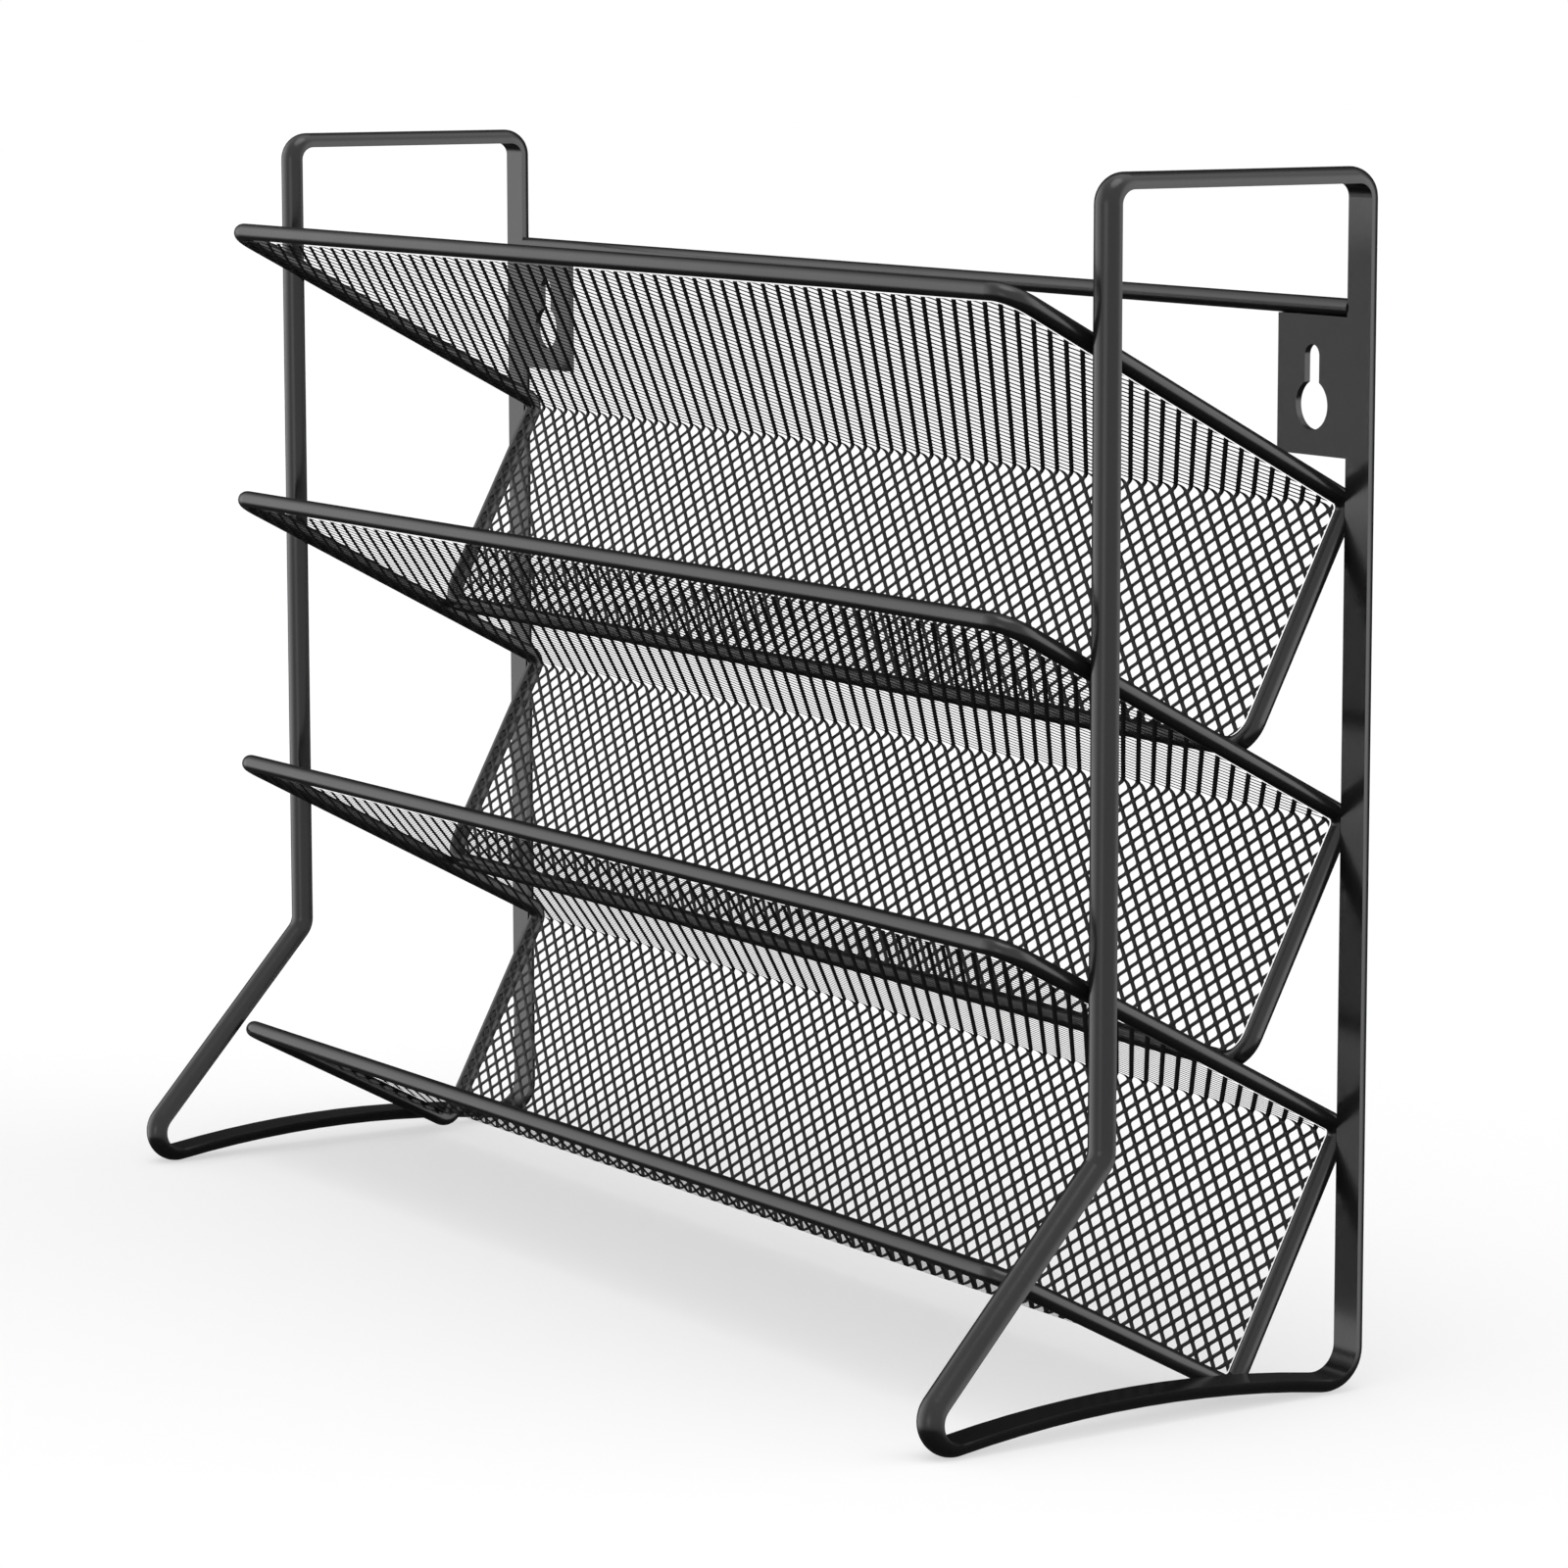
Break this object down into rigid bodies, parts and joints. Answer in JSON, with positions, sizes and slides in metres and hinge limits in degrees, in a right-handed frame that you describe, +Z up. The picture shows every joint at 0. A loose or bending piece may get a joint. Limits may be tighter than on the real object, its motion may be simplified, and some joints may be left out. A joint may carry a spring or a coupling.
{
  "type": "wire mesh file rack",
  "caption": "Wire-mesh rack with stacked sloping pockets for files or magazines between bent bar side frames; stands on its feet or hangs on keyhole plates.",
  "frame": {"origin": "on the floor, under the middle of the bounding box", "axes": "+X across the rack to the right-hand side frame, -Y out of the front, +Z up"},
  "size_m": [0.368, 0.1182, 0.27],
  "materials": {
    "powder_coated_steel": "semi-gloss black powder coat, very fine texture",
    "steel_mesh": "satin black powder coat over woven wire mesh"
  },
  "bodies": {
    "root": {"left_side_frame": "powder_coated_steel", "right_side_frame": "powder_coated_steel", "back_top_rod": "powder_coated_steel", "left_keyhole_plate": "powder_coated_steel", "right_keyhole_plate": "powder_coated_steel", "top_tier_rim": "powder_coated_steel", "middle_tier_rim": "powder_coated_steel", "bottom_tier_rim": "powder_coated_steel", "top_tier_mesh": "steel_mesh", "middle_tier_mesh": "steel_mesh", "bottom_tier_mesh": "steel_mesh"}
  },
  "joints": []
}
